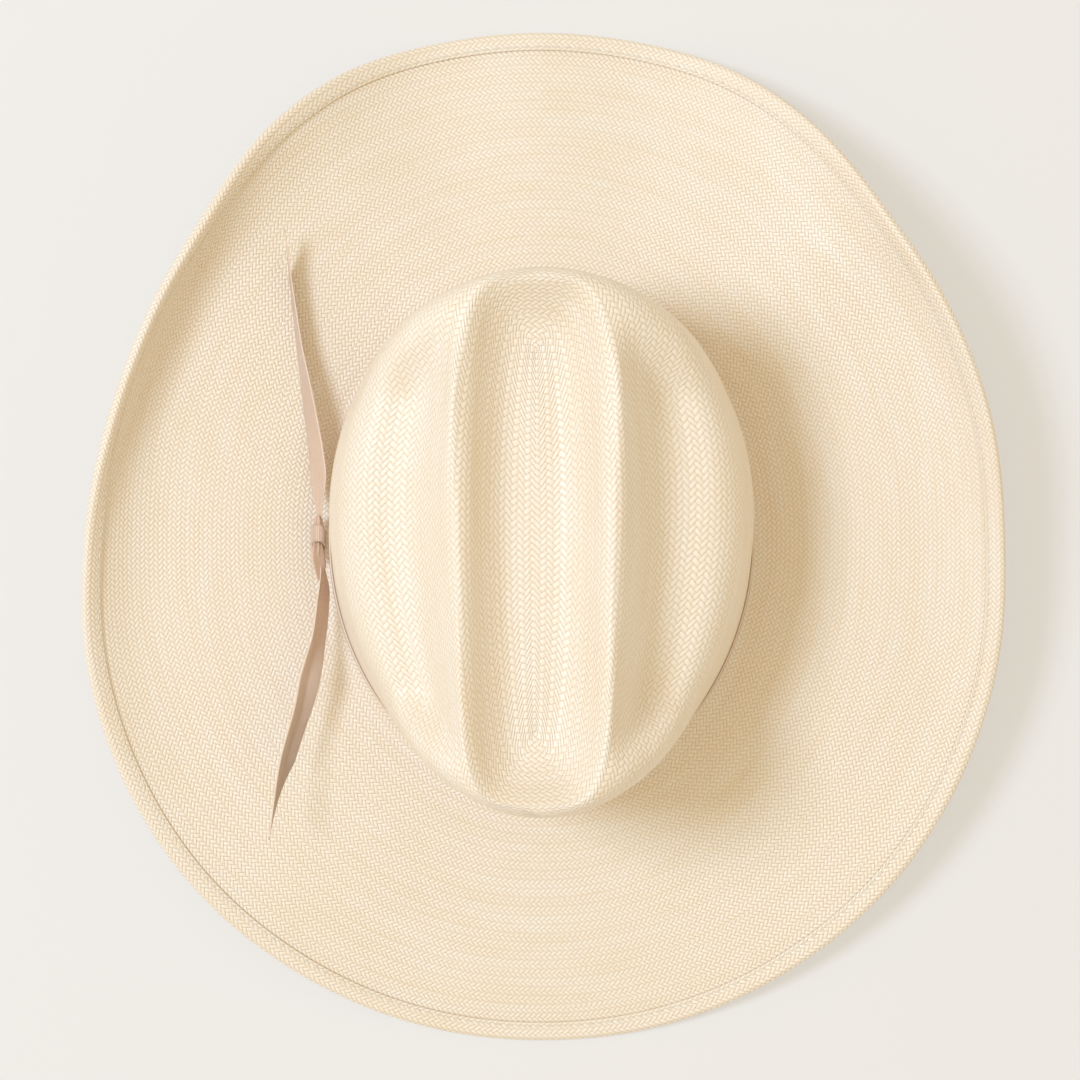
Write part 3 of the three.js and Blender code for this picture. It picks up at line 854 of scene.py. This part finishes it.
def stripGrid(look, cut):
    # a ribbon along a route, its width turned by the leans and hollowed by the crease
    line = smoothLines(np.array([look["route"]], dtype=float), 16)
    shares = np.linspace(0, 1, cut["steps"] + 1)
    middles = evenly(line, shares)[0]
    tangents = np.gradient(middles, axis=0)
    tangents /= np.linalg.norm(tangents, axis=1, keepdims=True)
    level = np.cross(tangents, (0, 0, 1))
    level /= np.linalg.norm(level, axis=1, keepdims=True)
    upright = np.cross(level, tangents)
    lean = np.radians(np.interp(shares, np.linspace(0, 1, len(look["leans"])), look["leans"]))[:, None]
    side = upright * np.cos(lean) + level * np.sin(lean)
    face = np.cross(tangents, side)
    crease = np.interp(shares, np.linspace(0, 1, len(look["crease"])), look["crease"])
    full = smoothStep(shares, 0, cut["gatherEnd"])
    width = cut["width"] * (cut["gathered"] + (1 - cut["gathered"]) * full)

    def read(values, reach):
        return np.stack([np.interp(reach, shares, values[:, axis]) for axis in range(3)], -1)

    columns = []
    for place in np.linspace(-0.5, 0.5, cut["across"] + 1):
        reach = shares * (1 - look["slant"] * (0.5 - place))
        depth = crease * (0.5 - 2 * abs(place))
        point = read(middles, reach) + read(side, reach) * (place * width)[:, None]
        columns.append(point + read(face, reach) * depth[:, None])
    return np.stack(columns, axis=1)


def makeStrip(name, body, look, cut, *nodes):
    grid = stripGrid(look, cut)
    middle = grid[:, cut["across"] // 2]
    length = float(np.linalg.norm(np.diff(middle, axis=0), axis=1).sum()) * 0.001
    width = cut["width"] * 0.001
    piece = gridPiece(
        name,
        inMetres(grid),
        ribbonCloth,
        closed=False,
        uv=lambda i, j, row: (i * length / cut["steps"], (j / cut["across"] - 0.5) * width),
        thickness=cut["thickness"],
    )
    piece.modifiers["thickness"].offset = 0
    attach(piece, body)
    if nodes:
        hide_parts(*nodes)
    return piece, (width, length)


for name, node, body, look in (
    ("ribbon_end_front", "bow_tail_front", "front_tail", frontTail),
    ("ribbon_end_rear", "bow_tail_rear", "rear_tail", rearTail),
):
    tail, flatSize = makeStrip(name, body, look, tailCut, node)

# The knot: a pleated lump of ribbon along the band, and one slanted turn of ribbon round it.
knot = {
    "middle": (90.3, 1.0, 34.2),
    "halfLength": 9.8,
    "halfDepth": 2.3,
    "halfHeight": 4.9,
    "pleats": 7,
    "pleatDepth": 0.12,
    "turnHalfWidth": 3.5,
    "turnDepth": 3.0,
    "turnHeight": 5.6,
    "turnSlant": -0.42,
    "turnThickness": 0.0006,
    "waist": 0.28,
    "waistWidth": 0.42,
    "pleatTwist": 1.3,
    "turnFlatness": 0.72,
}


def makeKnotCore(look):
    shares = np.linspace(-1, 1, 41)
    turns = np.linspace(0, 2 * math.pi, 57)
    waist = 1 - look["waist"] * np.exp(-((shares / look["waistWidth"]) ** 2))
    swell = np.maximum(1 - np.abs(shares) ** 3.0, 0) ** 0.5 * waist
    twist = look["pleatTwist"] * shares[:, None]
    pleat = 1 + look["pleatDepth"] * np.cos(look["pleats"] * turns[None, :] + twist)
    middleX, middleY, middleZ = look["middle"]
    x = middleX + look["halfDepth"] * swell[:, None] * pleat * np.cos(turns)
    y = middleY + look["halfLength"] * shares[:, None] * np.ones_like(pleat)
    z = middleZ + look["halfHeight"] * swell[:, None] * pleat * np.sin(turns)
    piece = gridPiece(
        "hatband_knot_core",
        inMetres(np.stack([x, y, z], axis=-1)),
        ribbonCloth,
        closed=False,
        uv=lambda i, j, row: (i * 0.0005, (j / 56 - 0.5) * 0.008),
        turned=True,
    )
    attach(piece, "hat")
    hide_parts("hatband_knot")


def makeKnotTurn(look):
    turns = hatAngles(72)[:, None]
    place = np.linspace(-1, 1, 13)[None, :]
    bulge = 1 - 0.06 * place**2 + 0.03 * np.cos(3 * place * math.pi)
    overlap = 0.25 * smoothStep(turns, 4.2, 4.4) * (1 - smoothStep(turns, 5.6, 6.2))
    middleX, middleY, middleZ = look["middle"]
    depth = (look["turnDepth"] + overlap) * bulge
    height = (look["turnHeight"] + overlap) * bulge
    flat = look["turnFlatness"]
    x = middleX + depth * np.sign(np.cos(turns)) * np.abs(np.cos(turns)) ** flat
    z = middleZ + height * np.sign(np.sin(turns)) * np.abs(np.sin(turns)) ** flat
    y = middleY + look["turnHalfWidth"] * place + look["turnSlant"] * (z - middleZ)
    grid = np.stack(np.broadcast_arrays(x, y, z), axis=-1)
    ring = np.linalg.norm(np.roll(grid, -1, axis=0) - grid, axis=2).mean(axis=1).sum() * 0.001
    piece = gridPiece(
        "hatband_knot_turn",
        inMetres(grid),
        ribbonCloth,
        closed=True,
        uv=lambda i, j, row: (i * ring / 72, (j / 12 - 0.5) * 0.0093),
        thickness=look["turnThickness"],
        turned=True,
    )
    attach(piece, "hat")
    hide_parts("hatband_knot_wrap")


makeKnotCore(knot)
makeKnotTurn(knot)

knotFold = {
    "route": [(90.4, 2.5, 37), (90.3, 7, 38), (89.6, 12, 37.4), (88.6, 17, 36)],
    "leans": [50, 45, 40, 30],
    "crease": [0.3, 0.5, 0.4, 0.1],
    "slant": 0.25,
}
foldCut = {"width": 7.0, "gathered": 0.6, "gatherEnd": 0.5, "steps": 30, "across": 10, "thickness": 0.0005}
makeStrip("hatband_knot_fold", "hat", knotFold, foldCut)
print("ribbon made")


# The small bow that marks the back of the sweatband: its two loops, then its two ends.
bowCut = {"width": 3.4, "gathered": 0.45, "gatherEnd": 0.15, "steps": 48, "across": 6, "thickness": 0.00035}
bowLoops = {
    "sweatband_bow_loop_left": [
        (0.8, 95.4, 35.4), (4, 94.6, 36.6), (9, 94.6, 37.4), (11.6, 96, 36.6),
        (9, 97.6, 35.6), (4, 97.4, 35), (0.8, 96.6, 35.2),
    ],
    "sweatband_bow_loop_right": [
        (0.8, 95.4, 35.4), (-2.4, 94.6, 36.4), (-7.4, 94.6, 37), (-10, 96, 36),
        (-7.4, 97.6, 35.2), (-2.4, 97.4, 34.8), (0.8, 96.6, 35.2),
    ],
    "sweatband_bow_end_left": [(1.2, 95.8, 35), (3.2, 95.2, 32.4), (5.4, 95.6, 29.4), (6.2, 96.2, 26.8)],
    "sweatband_bow_end_right": [(0.4, 95.8, 35), (-1.8, 95.2, 32.6), (-3.6, 95.7, 29.8), (-4.4, 96.3, 27)],
}


def makeSweatbandBow():
    for name, route in bowLoops.items():
        isEnd = "end" in name
        look = {
            "route": route,
            "leans": [70, 70] if isEnd else [0, 0],
            "crease": [0.2, 0.2],
            "slant": 0.1 if isEnd else 0,
        }
        stoodFor = ["sweatband_bow"] if name == "sweatband_bow_loop_left" else []
        makeStrip(name, "hat", look, bowCut, *stoodFor)
    bm = bmesh.new()
    middle = Vector(inMetres((0.8, 95.1, 35.2)))
    place = Matrix.Translation(middle) @ Matrix.Diagonal((0.0015, 0.0014, 0.0021, 1))
    bmesh.ops.create_uvsphere(bm, u_segments=28, v_segments=18, radius=1, matrix=place, calc_uvs=False)
    bm.loops.layers.uv.new("straw")
    piece = newPiece("sweatband_bow_tie", bm, ribbonCloth)
    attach(piece, "hat")
    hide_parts("sweatband_bow_knot")


makeSweatbandBow()

seamTape = {
    "width": 9.0,
    "foot": 7.0,
    "top": 34.0,
    "offset": -4.05,
    "puff": 0.18,
    "thickness": 0.0004,
    "columns": 20,
    "rows": 40,
}


def makeSeamTape(look):
    half = look["width"] / 2 / (hatSizes["headHalfWidth"] + look["offset"])
    angles = math.pi + np.linspace(-half, half, look["columns"] + 1)
    heights = np.linspace(look["foot"], look["top"], look["rows"] + 1)
    puff = look["puff"] * np.cos(np.linspace(-1, 1, look["columns"] + 1) * math.pi * 0.5)
    rows = [wallPlaces(angles, height, look["offset"] - puff) for height in heights]
    piece = gridPiece(
        "sweatband_seam_cover",
        inMetres(np.stack(rows, axis=1)),
        cottonTape,
        closed=False,
        uv=lambda i, j, row: (i * 0.0005, j * 0.0007),
        thickness=look["thickness"],
    )
    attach(piece, "hat")
    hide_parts("sweatband_seam_tape")


makeSeamTape(seamTape)

reedWrap = {
    "top": 10.0,
    "foot": 3.4,
    "offset": -1.95,
    "reedHeight": 1.3,
    "reedOffset": -3.6,
    "radius": 1.05,
    "thickness": 0.00022,
}


def makeReedWrap(look):
    turns = np.linspace(math.radians(60), math.radians(-200), 15)
    outline = [(look["top"] - k * (look["top"] - look["foot"]) / 6, look["offset"]) for k in range(7)]
    for turn in turns:
        height = look["reedHeight"] + look["radius"] * math.sin(turn)
        outline.append((height, look["reedOffset"] + look["radius"] * math.cos(turn)))
    rings = wallRing(240, outline)
    piece = gridPiece(
        "reed_wrap",
        inMetres(rings),
        cottonTape,
        closed=True,
        uv=ringUv(rings, outline),
        thickness=look["thickness"],
    )
    piece.modifiers["thickness"].offset = 0
    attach(piece, "hat")
    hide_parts("reed_tape")


makeReedWrap(reedWrap)


tackLook = {"apart": 0.0002, "halfWidth": 0.00022, "halfHeight": 0.00022}


def makeTack(node, look):
    # two strands side by side over the band
    low, high = (Vector(corner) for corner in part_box(node))
    middle, reach = (low + high) / 2, (high - low) / 2
    outward = Vector((middle.x, middle.y, 0)).normalized()
    sideways = outward.cross(Vector((0, 0, 1)))
    bm = bmesh.new()
    for way in (-1, 1):
        turn = Matrix((Vector((0, 0, 1)), sideways, outward)).transposed().to_4x4()
        spot = Matrix.Translation(middle + sideways * way * look["apart"])
        size = Matrix.Diagonal((reach.z, look["halfWidth"], look["halfHeight"], 1))
        bmesh.ops.create_uvsphere(bm, u_segments=12, v_segments=10, radius=1, matrix=spot @ turn @ size)
    piece = newPiece(node + "_thread", bm, threadCotton)
    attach(piece, "hat")
    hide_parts(node)


for tackNode in ("hatband_tack_front", "hatband_tack_back", "hatband_tack_right"):
    makeTack(tackNode, tackLook)

for nodeName, finish in (("edge_wire", wireSteel), ("sweatband_reed", reedPlastic)):
    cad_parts[nodeName].data.materials[0] = finish
print("small parts made")


# the floor, the light and the camera

stageLook = {
    "floorSize": 8.0,
    "floor": (0.42, 0.42, 0.42),
    # painted light: the floor gives off light of its own, close to half of its brightness, which lightens the
    # hat's shadow on it and the brim's underside
    "floorPaintedGlow": (0.41, 0.403, 0.389),
    "sky": (1.0, 0.855, 0.62),
    "skyStrength": 0.77,
    "key": (0.76, 0.91, 1.15),
    "keyWay": (0.50, -0.11, 0.858),
    "keyAway": 3.0,
    "keySize": 0.9,
    "keyPower": 43.5,
    "cameraPlace": (0.00168, 0.00145, 1.5026),
    "lens": 121.8,
}


def makeStage(look):
    scene = bpy.context.scene
    bm = bmesh.new()
    bmesh.ops.create_grid(bm, x_segments=1, y_segments=1, size=look["floorSize"] / 2)
    paper = Nodes("paper floor")
    grain = paper.noise(paper.places(), 3.0, 2.0)
    pale = look["floor"]
    deep = tuple(value * 0.985 for value in pale)
    # painted light: the floor's own glow, though it is no lamp
    glow = (*look["floorPaintedGlow"], 1)
    finish = paper.finish(paper.mix(grain, pale, deep), 0.95, Emission_Color=glow, Emission_Strength=1.0)
    floor = newPiece("floor", bm, finish, smooth=False)

    world = bpy.data.worlds.new("pale room")
    world.use_nodes = True
    world.node_tree.nodes["Background"].inputs["Color"].default_value = (*look["sky"], 1)
    world.node_tree.nodes["Background"].inputs["Strength"].default_value = look["skyStrength"]
    scene.world = world

    light = bpy.data.lights.new("key", "AREA")
    light.shape = "DISK"
    light.size = look["keySize"]
    light.energy = look["keyPower"]
    light.color = look["key"]
    lamp = bpy.data.objects.new("key", light)
    way = Vector(look["keyWay"]).normalized()
    lamp.location = way * look["keyAway"]
    lamp.rotation_euler = way.to_track_quat("Z", "Y").to_euler()
    scene.collection.objects.link(lamp)

    camera = bpy.data.objects.new("camera", bpy.data.cameras.new("camera"))
    camera.location = look["cameraPlace"]
    camera.rotation_euler = (0, 0, math.pi)
    camera.data.lens = look["lens"]
    camera.data.sensor_width = 36
    scene.collection.objects.link(camera)
    scene.camera = camera
    scene.view_settings.view_transform = "Standard"


makeStage(stageLook)
print("stage made")
